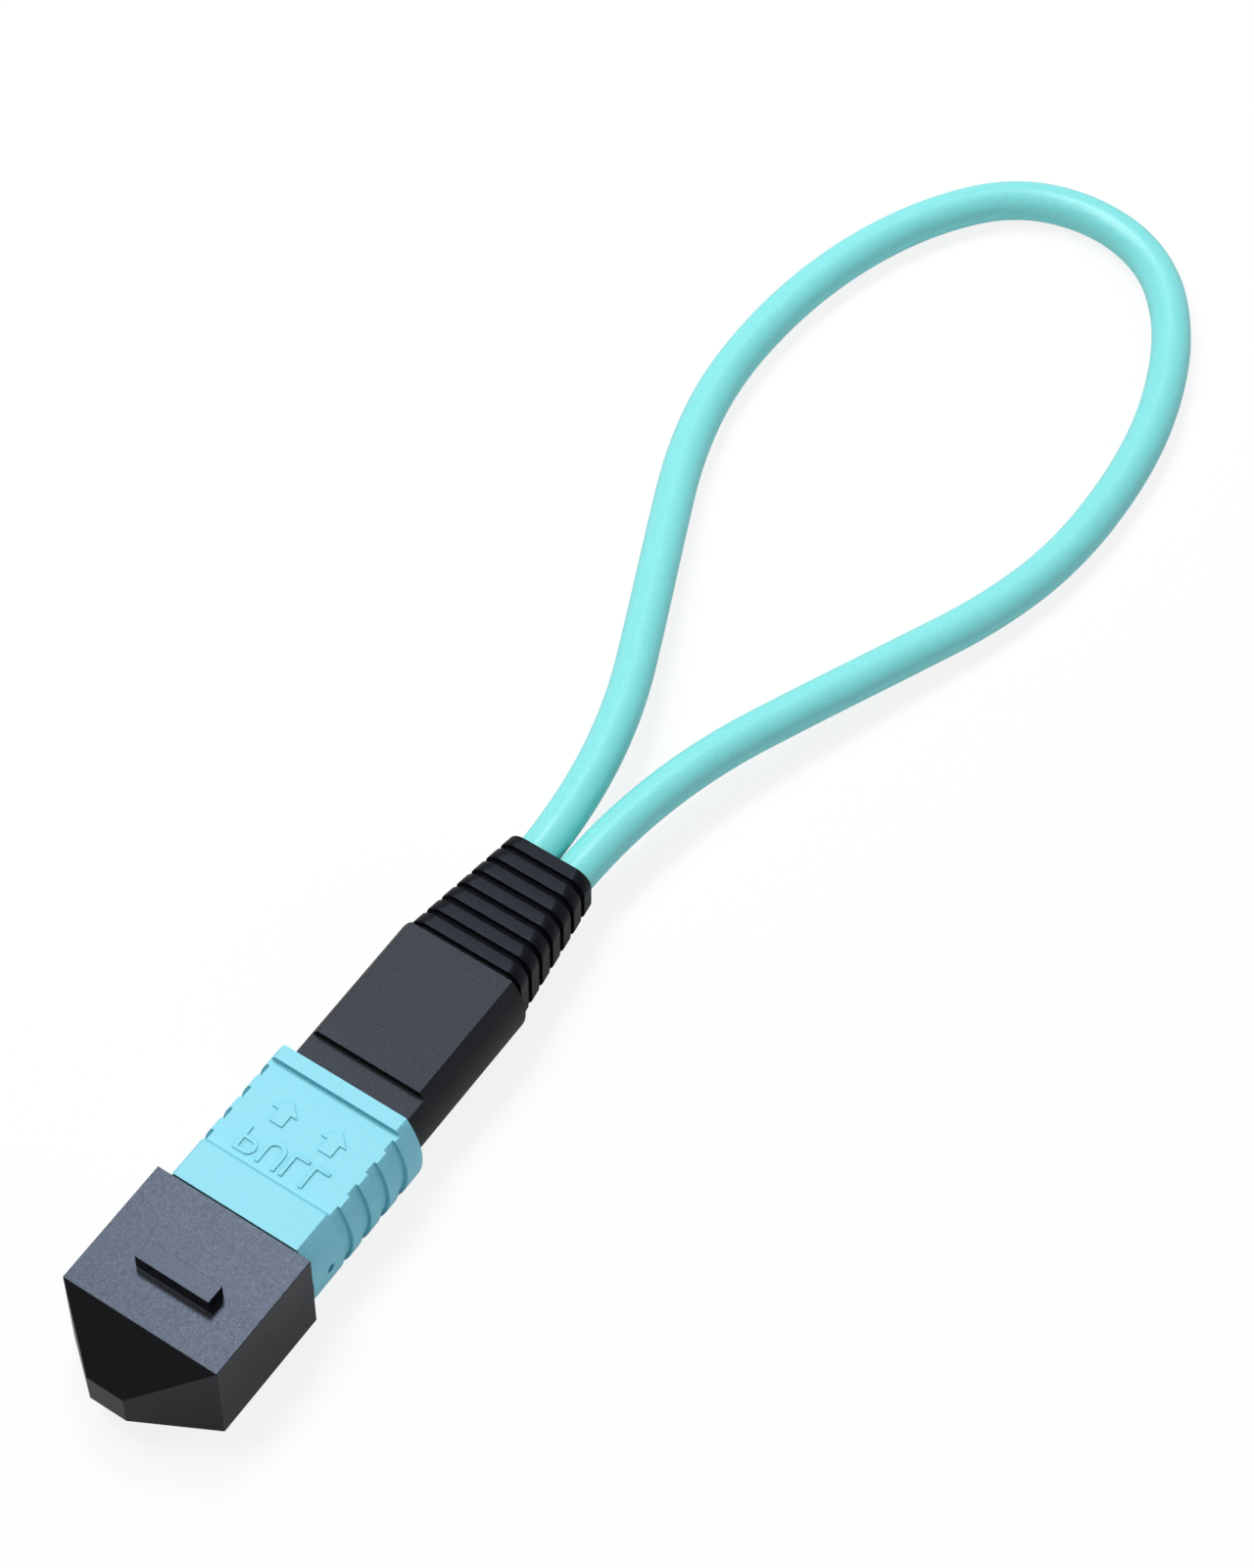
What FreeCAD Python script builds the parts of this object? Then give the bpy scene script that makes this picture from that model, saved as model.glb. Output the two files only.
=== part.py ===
"""A twelve-fibre push-on connector with a short loop of cable, under its dust cap."""
import FreeCAD, Part
import Sketcher
import math
import os

# X runs along the plug and points out of its nose, Y goes across it and Z is up.
# The origin is on the surface that the plug lies on, under the middle of its length.

SIZES = [
    # dust cap
    ("cap_width", 12.47, "dust cap, across"),
    ("shell_height", 7.9, "dust cap and coupler, top to bottom"),
    ("cap_front_wall", 0.9, "cap wall in front of its pocket"),
    ("cap_nose_length", 3.95, "cap's tapered nose"),
    ("cap_tip_width", 2.96, "flat at the nose's tip, across"),
    ("cap_tip_height", 2.82, "flat at the nose's tip, high"),
    ("cap_ledge", 0.6, "ledge between the pocket and the hollow nose"),
    ("cap_hollow_setback", 1.35, "hollow nose behind the tip"),
    ("cap_rib_setback", 3.3, "grip rib behind the cap's front edge"),
    ("cap_rib_length", 1.48, "grip rib, along the plug"),
    ("cap_rib_width", 6.0, "grip rib, across"),
    ("cap_rib_shift", 0.15, "grip rib, off the cap's centre line"),
    ("cap_rib_height", 1.25, "grip rib, above the cap"),
    ("cap_fit", 0.12, "clearance between cap and nose"),
    ("cap_gap", 0.12, "cap's rear edge to the coupler"),
    ("cap_end_room", 0.3, "ferrule face to the bottom of the cap's pocket"),
    # inner housing
    ("nose_width", 9.6, "housing nose, across"),
    ("nose_height", 5.4, "housing nose, high"),
    ("nose_length", 8.5, "nose in front of the coupler"),
    ("key_width", 3.0, "polarity key, across"),
    ("key_height", 0.75, "polarity key, above the nose"),
    ("key_end_gap", 0.5, "key to the coupler"),
    ("latch_setback", 4.2, "latch recess behind the nose's front"),
    ("latch_length", 3.0, "latch recess, along the plug"),
    ("latch_depth", 0.7, "latch recess, into each side"),
    ("latch_height", 3.4, "latch recess, high"),
    ("barrel_flat", 9.4, "flat of the housing's wide part"),
    ("barrel_width", 10.7, "housing's wide part, across its bulged sides"),
    ("barrel_height", 5.7, "housing's wide part, high"),
    ("barrel_length", 7.8, "housing's wide part, along the plug"),
    ("bore_width", 7.6, "housing's rear bore, across"),
    ("bore_height", 3.6, "housing's rear bore, high"),
    ("track_height", 1.4, "groove for a coupler spring, high"),
    ("track_floor", 8.4, "between the floors of the two spring grooves"),
    ("track_setback", 0.6, "spring grooves behind the front of the wide part"),
    ("track_length", 4.7, "spring grooves, along the plug"),
    ("tab_length", 0.7, "coupler tabs that press on the springs, along the plug"),
    ("tab_fit", 0.1, "clearance of the tabs in the grooves"),
    ("tab_bite", 0.15, "tabs into the coupler's side walls"),
    ("window_setback", 0.5, "snap window behind the spring groove"),
    ("window_length", 1.3, "snap window, along the plug"),
    ("window_height", 1.8, "snap window, high"),
    # ferrule
    ("ferrule_width", 6.4, "ferrule, across"),
    ("ferrule_height", 2.5, "ferrule, high"),
    ("ferrule_length", 8.0, "ferrule, with its shoulder"),
    ("ferrule_stickout", 0.4, "ferrule face in front of the nose"),
    ("ferrule_fit", 0.1, "clearance around the ferrule"),
    ("shoulder_width", 7.0, "ferrule shoulder, across"),
    ("shoulder_height", 3.0, "ferrule shoulder, high"),
    ("shoulder_length", 2.0, "ferrule shoulder, along the plug"),
    ("stop_gap", 0.05, "shoulder to the housing's step"),
    ("pin_pitch", 4.6, "between the guide-pin holes"),
    ("pin_bore", 0.7, "guide-pin hole, diameter"),
    ("fibre_count", 12, "fibres in the ferrule"),
    ("fibre_pitch", 0.25, "between fibres"),
    ("fibre_bore", 0.14, "hole for a bare fibre"),
    ("fibre_size", 0.125, "bare fibre, diameter"),
    ("fibre_end", 5.55, "bare fibres end behind the ferrule face"),
    ("resin_setback", 2.6, "resin window behind the ferrule face"),
    ("resin_length", 2.2, "resin window, along the plug"),
    ("resin_width", 3.4, "resin window, across"),
    ("resin_floor", 0.2, "floor of the resin window below the fibres"),
    # ferrule sleeve, pin keeper and ribbons
    ("sleeve_width", 3.5, "rubber sleeve, across"),
    ("sleeve_height", 1.5, "rubber sleeve, high"),
    ("sleeve_length", 5.0, "rubber sleeve, along the plug"),
    ("sleeve_insert", 2.4, "rubber sleeve inside the ferrule"),
    ("sleeve_fit", 0.05, "clearance around the rubber sleeve"),
    ("keeper_length", 2.0, "pin keeper, along the plug"),
    ("ribbon_width", 1.54, "six-fibre ribbon, across"),
    ("ribbon_thickness", 0.32, "six-fibre ribbon, high"),
    ("ribbon_gap", 0.06, "between the two ribbons"),
    ("ribbon_fit", 0.05, "clearance around the ribbons"),
    # ferrule spring and spring push
    ("spring_wire", 0.4, "ferrule spring wire"),
    ("spring_width", 6.4, "ferrule spring, across"),
    ("spring_height", 3.0, "ferrule spring, high"),
    ("spring_length", 5.4, "ferrule spring, along the plug"),
    ("spring_turns", 5, "ferrule spring turns"),
    ("push_fit", 0.1, "clearance around the spring push in the bore"),
    ("push_window_width", 5.2, "spring push window, across"),
    ("push_window_height", 1.8, "spring push window, high"),
    ("snap_height", 0.7, "snap hook, out of the spring push"),
    ("snap_fit", 0.12, "snap hook in its window, each way"),
    ("block_width", 8.5, "spring push block behind the housing, across"),
    ("block_height", 3.9, "spring push block, high"),
    ("block_length", 3.1, "spring push block, along the plug"),
    ("neck_length", 11.4, "crimp neck, along the plug"),
    ("neck_bore_width", 4.9, "crimp neck bore, across"),
    ("neck_bore_height", 1.7, "crimp neck bore, high"),
    ("yarn_thickness", 0.2, "strength yarn over the neck"),
    ("yarn_setback", 4.2, "yarn behind the block"),
    ("ring_width", 6.3, "crimp ring opening, across"),
    ("ring_height", 3.2, "crimp ring opening, high"),
    ("ring_wall", 0.3, "crimp ring wall"),
    ("ring_setback", 6.4, "crimp ring behind the block"),
    ("ring_length", 8.6, "crimp ring, along the plug"),
    # coupler
    ("coupler_flat", 10.0, "coupler, flat of its top"),
    ("coupler_width", 12.34, "coupler, across its bulged sides"),
    ("collar_length", 3.35, "coupler's plain front collar"),
    ("grip_length", 7.55, "coupler's recessed grip"),
    ("flange_length", 1.15, "coupler's rear flange"),
    ("grip_height", 7.0, "coupler at the grip, high"),
    ("valley_flat", 10.08, "grip valley, across its floor at the top"),
    ("valley_width", 11.74, "grip valley, across its floor at the middle"),
    ("valley_length", 0.98, "grip valley, along the plug"),
    ("valley_pitch", 2.02, "between grip valleys"),
    ("valley_count", 4, "grip valleys on each side"),
    ("coupler_fit", 0.15, "clearance around the housing's nose"),
    ("sleeve_room", 0.1, "clearance around the housing's wide part, high"),
    ("side_room", 0.1, "clearance around the housing's wide part, across"),
    ("lip_length", 0.9, "coupler lip in front of its spring pocket"),
    ("coupler_travel", 2.2, "how far the coupler pulls back"),
    ("pin_hole", 0.75, "small hole in each side of the coupler"),
    ("pin_hole_setback", 1.87, "small hole behind the coupler's front"),
    ("coil_size", 1.1, "coupler spring, outer diameter"),
    ("coil_wire", 0.18, "coupler spring wire"),
    ("coil_turns", 7, "coupler spring turns"),
    ("coil_room", 0.03, "clearance around the coupler springs"),
    # raised marks
    ("mark_relief", 0.1, "height of the raised marks"),
    ("mark_stroke", 0.26, "stroke of the raised letters"),
    ("letter_height", 2.0, "raised letters, along the plug"),
    ("p_width", 1.45, "raised P, across"),
    ("u_width", 1.55, "raised U, across"),
    ("l_width", 1.26, "raised L, across"),
    ("letter_gap", 0.37, "between letters"),
    ("bowl_height", 1.26, "bowl of the P, along the plug"),
    ("letter_setback", 0.65, "letters behind the front of the grip"),
    ("arrow_setback", 3.65, "arrows behind the front of the grip"),
    ("arrow_shaft_width", 1.0, "arrow shaft, across"),
    ("arrow_shaft_length", 1.02, "arrow shaft, along the plug"),
    ("arrow_head_width", 2.0, "arrow head, across"),
    ("arrow_head_length", 0.95, "arrow head, along the plug"),
    ("arrow_pitch", 4.0, "between the two arrows"),
    # rear body
    ("body_flat", 8.44, "rear body, flat of its top"),
    ("body_width", 10.6, "rear body, across its bulged sides"),
    ("body_height", 6.16, "rear body, high"),
    ("body_step_height", 5.04, "rear body where the coupler runs over it"),
    ("body_step_gap", 2.5, "step of the rear body behind the coupler"),
    ("body_top_length", 10.65, "rear body behind its step"),
    ("body_wall", 0.5, "rear body wall"),
    ("body_end_wall", 0.9, "rear body wall at the boot"),
    ("body_gap", 0.1, "rear body to the inner housing"),
    ("body_corner_wall", 0.37, "rear body wall beside the flat"),
    ("block_fit", 0.08, "clearance around the spring push block"),
    # boot
    ("boot_length", 10.5, "ribbed boot behind the rear body"),
    ("boot_front_width", 9.3, "boot at its front, across"),
    ("boot_front_height", 5.95, "boot at its front, high"),
    ("boot_rear_width", 6.9, "boot at its end, across"),
    ("boot_rear_height", 4.4, "boot at its end, high"),
    ("boot_corner", 1.3, "boot's rounded corners"),
    ("boot_rings", 7, "rings of the boot"),
    ("boot_groove", 0.48, "groove between rings, along the plug"),
    ("boot_groove_depth", 0.32, "groove between rings, deep"),
    ("boot_neck_flat", 6.6, "boot neck in the body's end wall, flat"),
    ("boot_neck_width", 8.4, "boot neck, across"),
    ("boot_neck_height", 4.7, "boot neck, high"),
    ("boot_flange_flat", 7.2, "boot flange inside the body, flat"),
    ("boot_flange_width", 9.4, "boot flange, across"),
    ("boot_flange_height", 4.95, "boot flange, high"),
    ("boot_flange_length", 0.9, "boot flange, along the plug"),
    ("boot_fit", 0.06, "clearance of the boot in the end wall"),
    ("ring_room", 0.1, "clearance around the crimp ring in the boot"),
    # cable
    ("cable_size", 3.0, "cable, diameter"),
    ("cable_pitch", 3.04, "between the cable's two ends in the boot"),
    ("cable_fit", 0.15, "clearance around the cable in the boot"),
    ("cable_insert", 9.6, "cable inside the boot and body"),
]

# The cord's route, from one end in the crimp ring round the loop to the other.
# Each point is its distance behind the boot's mouth, its place across the plug
# and its height over the surface; the two ends take their places from the sizes.
LOOP_ROUTE = [
    (-1.3, -1.45, 3.95),
    (7.1, -2.0, 3.83),
    (15.0, -4.0, 3.42),
    (22.4, -7.3, 2.83),
    (30.0, -10.8, 2.2),
    (37.6, -14.2, 1.68),
    (45.1, -16.1, 1.5),
    (53.4, -16.2, 1.5),
    (61.4, -14.8, 1.5),
    (68.6, -11.8, 1.5),
    (74.0, -7.4, 1.5),
    (75.8, -1.1, 1.5),
    (74.2, 5.0, 1.5),
    (69.2, 9.6, 1.5),
    (62.0, 12.7, 1.5),
    (54.6, 14.1, 1.5),
    (45.9, 14.2, 1.5),
    (38.1, 12.5, 1.68),
    (30.3, 9.4, 2.2),
    (22.7, 6.4, 2.81),
    (15.0, 3.5, 3.42),
    (7.0, 1.85, 3.85),
    (-1.2, 1.45, 3.95),
]

ARC_VIA = 1 - math.sqrt(0.5)


class Size:
    """A length that carries its value and the spreadsheet expression behind it."""

    def __init__(self, text, value):
        self.text = text
        self.value = float(value)

    def __add__(self, other):
        other = as_size(other)
        return Size(f"({self.text} + {other.text})", self.value + other.value)

    def __sub__(self, other):
        other = as_size(other)
        return Size(f"({self.text} - {other.text})", self.value - other.value)

    def __rsub__(self, other):
        return as_size(other) - self

    def __mul__(self, other):
        other = as_size(other)
        return Size(f"({self.text} * {other.text})", self.value * other.value)

    def __truediv__(self, other):
        other = as_size(other)
        return Size(f"({self.text} / {other.text})", self.value / other.value)

    def __neg__(self):
        return Size(f"(0 - {self.text})", -self.value)

    __radd__ = __add__
    __rmul__ = __mul__


def as_size(thing):
    return thing if isinstance(thing, Size) else Size(f"{float(thing):.9f}", thing)


doc = FreeCAD.newDocument("fibre_loopback")
sheet = doc.addObject("Spreadsheet::Sheet", "sizes")
S = {}
for row, (alias, value, note) in enumerate(SIZES, start=1):
    sheet.set(f"A{row}", note)
    sheet.set(f"B{row}", str(value))
    sheet.setAlias(f"B{row}", alias)
    S[alias] = Size(f"sizes.{alias}", value)
doc.recompute()

# Stations along the plug, each worked out from the ones before it.
cap_pocket = S["nose_length"] + S["ferrule_stickout"] + S["cap_end_room"] - S["cap_gap"]
cap_length = cap_pocket + S["cap_front_wall"]
coupler_length = S["collar_length"] + S["grip_length"] + S["flange_length"]
plug_length = (S["cap_nose_length"] + cap_length + S["cap_gap"] + coupler_length
               + S["body_step_gap"] + S["body_top_length"] + S["boot_length"])

tip = plug_length / 2
cap_front = tip - S["cap_nose_length"]
cap_rear = cap_front - cap_length
coupler_front = cap_rear - S["cap_gap"]
coupler_rear = coupler_front - coupler_length
nose_front = coupler_front + S["nose_length"]
ferrule_face = nose_front + S["ferrule_stickout"]
lip_rear = coupler_front - S["lip_length"]
barrel_front = lip_rear - S["coupler_travel"] - S["stop_gap"]
track_front = barrel_front - S["track_setback"]
track_rear = track_front - S["track_length"]
tab_rear = track_front - S["stop_gap"] - S["tab_length"]
housing_rear = barrel_front - S["barrel_length"]
shoulder_front = ferrule_face - S["ferrule_length"] + S["shoulder_length"]
ferrule_rear = ferrule_face - S["ferrule_length"]
keeper_rear = ferrule_rear - S["keeper_length"]
spring_seat = keeper_rear - S["spring_length"]
block_rear = housing_rear - S["block_length"]
body_front = housing_rear - S["body_gap"]
body_step = coupler_rear - S["body_step_gap"]
body_rear = body_step - S["body_top_length"]
mouth = body_rear - S["boot_length"]
axis_height = S["shell_height"] / 2


# --- helpers -----------------------------------------------------------------

def bind(thing, path, size):
    thing.setExpression(path, as_size(size).text)


def new_body(label, front, side=0, height=axis_height):
    """A body whose own origin is on the plug's axis, at the front of the piece."""
    body = doc.addObject("PartDesign::Body", label)
    body.Label = label
    bind(body, "Placement.Base.x", front)
    bind(body, "Placement.Base.y", side)
    bind(body, "Placement.Base.z", height)
    return body


def origin_part(body, role):
    return next(item for item in body.Origin.OriginFeatures if item.Role == role)


def turns_left(start, via, end):
    return (via.x - start.x) * (end.y - via.y) - (via.y - start.y) * (end.x - via.x) > 0


def pin_point(sketch, geometry, corner, point):
    """Holds one point of a sketch at its two sizes, measured from the sketch's origin."""
    for kind, size in (("DistanceX", point[0]), ("DistanceY", point[1])):
        size = as_size(size)
        index = sketch.addConstraint(Sketcher.Constraint(kind, geometry, corner, size.value))
        name = f"{kind}_{geometry}_{corner}"
        sketch.renameConstraint(index, name)
        bind(sketch, f"Constraints.{name}", size)


def draw_outline(sketch, outline):
    """Draws a closed outline of lines and arcs; a point marked "via" is an arc's middle."""
    corners = [index for index, point in enumerate(outline) if len(point) == 2]
    joints = []
    for index in corners:
        here = outline[index]
        following = outline[(index + 1) % len(outline)]
        start = FreeCAD.Vector(as_size(here[0]).value, as_size(here[1]).value, 0)
        if len(following) == 2:
            end = FreeCAD.Vector(as_size(following[0]).value, as_size(following[1]).value, 0)
            geometry = sketch.addGeometry(Part.LineSegment(start, end))
            joints.append((geometry, 1, 2))
            pin_point(sketch, geometry, 1, here)
            continue
        after = outline[(index + 2) % len(outline)]
        via = FreeCAD.Vector(as_size(following[0]).value, as_size(following[1]).value, 0)
        end = FreeCAD.Vector(as_size(after[0]).value, as_size(after[1]).value, 0)
        if turns_left(start, via, end):
            geometry = sketch.addGeometry(Part.Arc(start, via, end))
            joints.append((geometry, 1, 2))
        else:
            geometry = sketch.addGeometry(Part.Arc(end, via, start))
            joints.append((geometry, 2, 1))
        pin_point(sketch, geometry, joints[-1][1], here)
        middle = sketch.addGeometry(Part.Point(via))
        pin_point(sketch, middle, 1, following)
        sketch.addConstraint(Sketcher.Constraint("PointOnObject", middle, 1, geometry))
    for (first, _, first_end), (second, second_start, _) in zip(joints, joints[1:] + joints[:1]):
        sketch.addConstraint(
            Sketcher.Constraint("Coincident", first, first_end, second, second_start))


def draw_circle(sketch, centre, radius):
    radius = as_size(radius)
    place = FreeCAD.Vector(as_size(centre[0]).value, as_size(centre[1]).value, 0)
    normal = FreeCAD.Vector(0, 0, 1)
    geometry = sketch.addGeometry(Part.Circle(place, normal, radius.value))
    pin_point(sketch, geometry, 3, centre)
    index = sketch.addConstraint(Sketcher.Constraint("Radius", geometry, radius.value))
    sketch.renameConstraint(index, f"Radius_{geometry}")
    bind(sketch, f"Constraints.Radius_{geometry}", radius)


def new_sketch(body, role, offset, outlines=(), circles=()):
    """A sketch on one of the body's origin planes, moved along the plane's normal."""
    sketch = body.newObject("Sketcher::SketchObject", f"{body.Name}_sketch")
    sketch.AttachmentSupport = (origin_part(body, role), [""])
    sketch.MapMode = "FlatFace"
    bind(sketch, "AttachmentOffset.Base.z", offset)
    for outline in outlines:
        draw_outline(sketch, outline)
    for centre, radius in circles:
        draw_circle(sketch, centre, radius)
    sketch.Visibility = False
    return sketch


def add_prism(body, outlines, rear, front, circles=()):
    """Material between two stations, given in the body's own X."""
    feature = body.newObject("PartDesign::Pad", f"{body.Name}_pad")
    feature.Profile = new_sketch(body, "YZ_Plane", rear, outlines, circles)
    bind(feature, "Length", front - rear)
    return feature


def cut_prism(body, outlines, rear, front, circles=()):
    """Removes what lies inside the outlines between two stations."""
    doc.recompute()
    before = body.Shape.Volume
    feature = body.newObject("PartDesign::Pocket", f"{body.Name}_pocket")
    feature.Profile = new_sketch(body, "YZ_Plane", front, outlines, circles)
    bind(feature, "Length", front - rear)
    doc.recompute()
    if not body.Shape.Volume < before - 1e-6:
        raise RuntimeError(f"{feature.Name} cut nothing")
    return feature


def cut_across(body, role, outlines=(), circles=(), start=0, depth=None):
    """Removes material along a plane's normal: through all of it, or to a depth."""
    doc.recompute()
    before = body.Shape.Volume
    feature = body.newObject("PartDesign::Pocket", f"{body.Name}_pocket")
    feature.Profile = new_sketch(body, role, start, outlines, circles)
    if depth is None:
        feature.Type = "ThroughAll"
        feature.Midplane = True
    else:
        bind(feature, "Length", depth)
    doc.recompute()
    if not body.Shape.Volume < before - 1e-6:
        raise RuntimeError(f"{feature.Name} cut nothing")
    return feature


def add_loft(body, sections, kind="PartDesign::AdditiveLoft"):
    """A straight-sided loft through (station, outline) pairs."""
    sketches = [new_sketch(body, "YZ_Plane", at, [outline]) for at, outline in sections]
    feature = body.newObject(kind, f"{body.Name}_loft")
    feature.Profile = sketches[0]
    feature.Sections = sketches[1:]
    feature.Ruled = True
    return feature


# --- outlines across the plug ------------------------------------------------

def box(width, height, across=0, up=0):
    left, right = across - as_size(width) / 2, across + as_size(width) / 2
    low, high = up - as_size(height) / 2, up + as_size(height) / 2
    return [(left, low), (right, low), (right, high), (left, high)]


def bulged(flat, width, height):
    """Flat top and bottom, with sides that bulge out in one arc each."""
    flat, side, high = flat / 2, width / 2, height / 2
    return [(-flat, -high), (flat, -high), (side, 0, "via"),
            (flat, high), (-flat, high), (-side, 0, "via")]


def slot(width, height):
    return bulged(width - height, width, height)


def rounded(width, height, corner):
    side, high = width / 2, height / 2
    inset = corner * ARC_VIA
    return [
        (corner - side, -high), (side - corner, -high), (side - inset, inset - high, "via"),
        (side, corner - high), (side, high - corner), (side - inset, high - inset, "via"),
        (side - corner, high), (corner - side, high), (inset - side, high - inset, "via"),
        (-side, high - corner), (-side, corner - high), (inset - side, inset - high, "via"),
    ]


def spaced(count, pitch):
    """Positions of evenly spaced things, centred on zero."""
    return [pitch * (index - (count - 1) / 2) for index in range(count)]


# --- dust cap ----------------------------------------------------------------

def make_dust_cap():
    cap = new_body("dust_cap", cap_front)
    outside = box(S["cap_width"], S["shell_height"])
    tip_face = box(S["cap_tip_width"], S["cap_tip_height"])
    pocket_width = S["nose_width"] + 2 * S["cap_fit"]
    pocket_height = S["nose_height"] + 2 * S["cap_fit"]
    add_prism(cap, [outside], -cap_length, as_size(0))
    add_loft(cap, [(as_size(0), outside), (S["cap_nose_length"], tip_face)])
    cut_prism(cap, [box(pocket_width, pocket_height)], -cap_length, -S["cap_front_wall"])
    key_slot = box(S["key_width"] + 2 * S["cap_fit"],
                   pocket_height / 2 + S["key_height"],
                   up=(pocket_height / 2 + S["key_height"]) / 2)
    cut_prism(cap, [key_slot], -cap_length, -S["cap_front_wall"])
    ledge = box(pocket_width - 2 * S["cap_ledge"], pocket_height - 2 * S["cap_ledge"])
    hollow_end = box(S["cap_tip_width"] / 2, S["cap_tip_height"] / 2)
    add_loft(cap, [(-S["cap_front_wall"], ledge),
                   (S["cap_nose_length"] - S["cap_hollow_setback"], hollow_end)],
             kind="PartDesign::SubtractiveLoft")
    rib = cap.newObject("PartDesign::Pad", "grip_rib")
    rib_centre = -(S["cap_rib_setback"] + S["cap_rib_length"] / 2)
    rib.Profile = new_sketch(cap, "XY_Plane", S["shell_height"] / 2,
                             [box(S["cap_rib_length"], S["cap_rib_width"], across=rib_centre,
                                  up=S["cap_rib_shift"])])
    bind(rib, "Length", S["cap_rib_height"])
    return cap


# --- coupler: the sleeve that is pulled back to let the plug go ---------------

def make_coupler():
    coupler = new_body("coupler", coupler_front)
    grip_front = -S["collar_length"]
    grip_rear = grip_front - S["grip_length"]
    cavity_height = S["barrel_height"] + 2 * S["sleeve_room"]
    add_prism(coupler, [bulged(S["coupler_flat"], S["coupler_width"], S["shell_height"])],
              -coupler_length, as_size(0))
    grip_depth = (S["shell_height"] - S["grip_height"]) / 2
    grip_middle = (S["shell_height"] + S["grip_height"]) / 4
    cut_prism(coupler, [box(S["coupler_width"], grip_depth, up=grip_middle),
                        box(S["coupler_width"], grip_depth, up=-grip_middle)],
              grip_rear, grip_front)
    cut_valleys(coupler, grip_front)
    cut_prism(coupler, [box(S["nose_width"] + 2 * S["coupler_fit"],
                            S["nose_height"] + 2 * S["coupler_fit"])],
              -S["lip_length"], as_size(0))
    cut_prism(coupler, [bulged(S["barrel_flat"] + 2 * S["side_room"],
                               S["barrel_width"] + 2 * S["side_room"], cavity_height)],
              -coupler_length, -S["lip_length"])
    cut_across(coupler, "XZ_Plane",
               circles=[((-S["pin_hole_setback"], 0), S["pin_hole"] / 2)])
    tab_height = S["track_height"] - 2 * S["tab_fit"]
    tab_inside = S["track_floor"] / 2 + S["tab_fit"]
    tab_outside = S["barrel_width"] / 2 + S["side_room"] + S["tab_bite"]
    tab_middle = (tab_inside + tab_outside) / 2
    for side in (1, -1):
        add_prism(coupler, [box(tab_outside - tab_inside, tab_height,
                                across=side * tab_middle)],
                  tab_rear - coupler_front, tab_rear + S["tab_length"] - coupler_front)
    marks = coupler.newObject("PartDesign::Pad", "raised_marks")
    outlines = word_outlines(grip_front) + arrow_outlines(grip_front)
    marks.Profile = new_sketch(coupler, "XY_Plane", S["grip_height"] / 2, outlines)
    bind(marks, "Length", S["mark_relief"])
    return coupler


def cut_valleys(coupler, grip_front):
    """The grip's valleys, cut into both sides at even steps."""
    flat, side = S["valley_flat"] / 2, S["valley_width"] / 2
    high = S["grip_height"] / 2
    outside = S["coupler_width"] / 2 + 0.5
    right = [(outside, -high), (outside, high), (flat, high), (side, 0, "via"), (flat, -high)]
    left = [(-outside, high), (-outside, -high), (-flat, -high), (-side, 0, "via"), (-flat, high)]
    valley = cut_prism(coupler, [right, left], grip_front - S["valley_length"], grip_front)
    row = coupler.newObject("PartDesign::LinearPattern", "valley_row")
    row.Originals = [valley]
    row.Direction = (origin_part(coupler, "X_Axis"), [""])
    row.Reversed = True
    bind(row, "Length", S["valley_pitch"] * (S["valley_count"] - 1))
    bind(row, "Occurrences", S["valley_count"])
    coupler.Tip = row
    doc.recompute()


def word_outlines(grip_front):
    """Outlines of the raised word, whose letters stand with their feet to the rear."""
    stroke = S["mark_stroke"]
    front = grip_front - S["letter_setback"]
    foot = front - S["letter_height"]
    letters = [(letter_p, S["p_width"]), (letter_u, S["u_width"]),
               (letter_l, S["l_width"]), (letter_l, S["l_width"])]
    word = sum(width for _, width in letters) + (len(letters) - 1) * S["letter_gap"]
    left = -word / 2
    outlines = []
    for draw_letter, width in letters:
        outlines += draw_letter(front, foot, left, width, stroke)
        left = left + width + S["letter_gap"]
    return outlines


def letter_p(front, foot, left, width, stroke):
    bowl = S["bowl_height"]
    round_end = left + width - bowl / 2
    counter = bowl - 2 * stroke
    middle = front - bowl / 2
    outer = [(front, left), (foot, left), (foot, left + stroke), (front - bowl, left + stroke),
             (front - bowl, round_end), (middle, left + width, "via"), (front, round_end)]
    inner = [(front - stroke, left + stroke), (front - stroke - counter, left + stroke),
             (front - stroke - counter, round_end), (middle, left + width - stroke, "via"),
             (front - stroke, round_end)]
    return [outer, inner]


def letter_u(front, foot, left, width, stroke):
    right = left + width
    turn = foot + width / 2
    middle = left + width / 2
    return [[(front, left), (turn, left), (foot, middle, "via"), (turn, right), (front, right),
             (front, right - stroke), (turn, right - stroke), (foot + stroke, middle, "via"),
             (turn, left + stroke), (front, left + stroke)]]


def letter_l(front, foot, left, width, stroke):
    return [[(front, left), (foot, left), (foot, left + width), (foot + stroke, left + width),
             (foot + stroke, left + stroke), (front, left + stroke)]]


def arrow_outlines(grip_front):
    """Two arrows that point the way the coupler is pulled."""
    tail = grip_front - S["arrow_setback"]
    neck = tail - S["arrow_shaft_length"]
    point = neck - S["arrow_head_length"]
    shaft, head = S["arrow_shaft_width"] / 2, S["arrow_head_width"] / 2
    return [[(tail, y - shaft), (neck, y - shaft), (neck, y - head), (point, y),
             (neck, y + head), (neck, y + shaft), (tail, y + shaft)]
            for y in spaced(2, S["arrow_pitch"])]


# --- inner housing -----------------------------------------------------------

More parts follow.
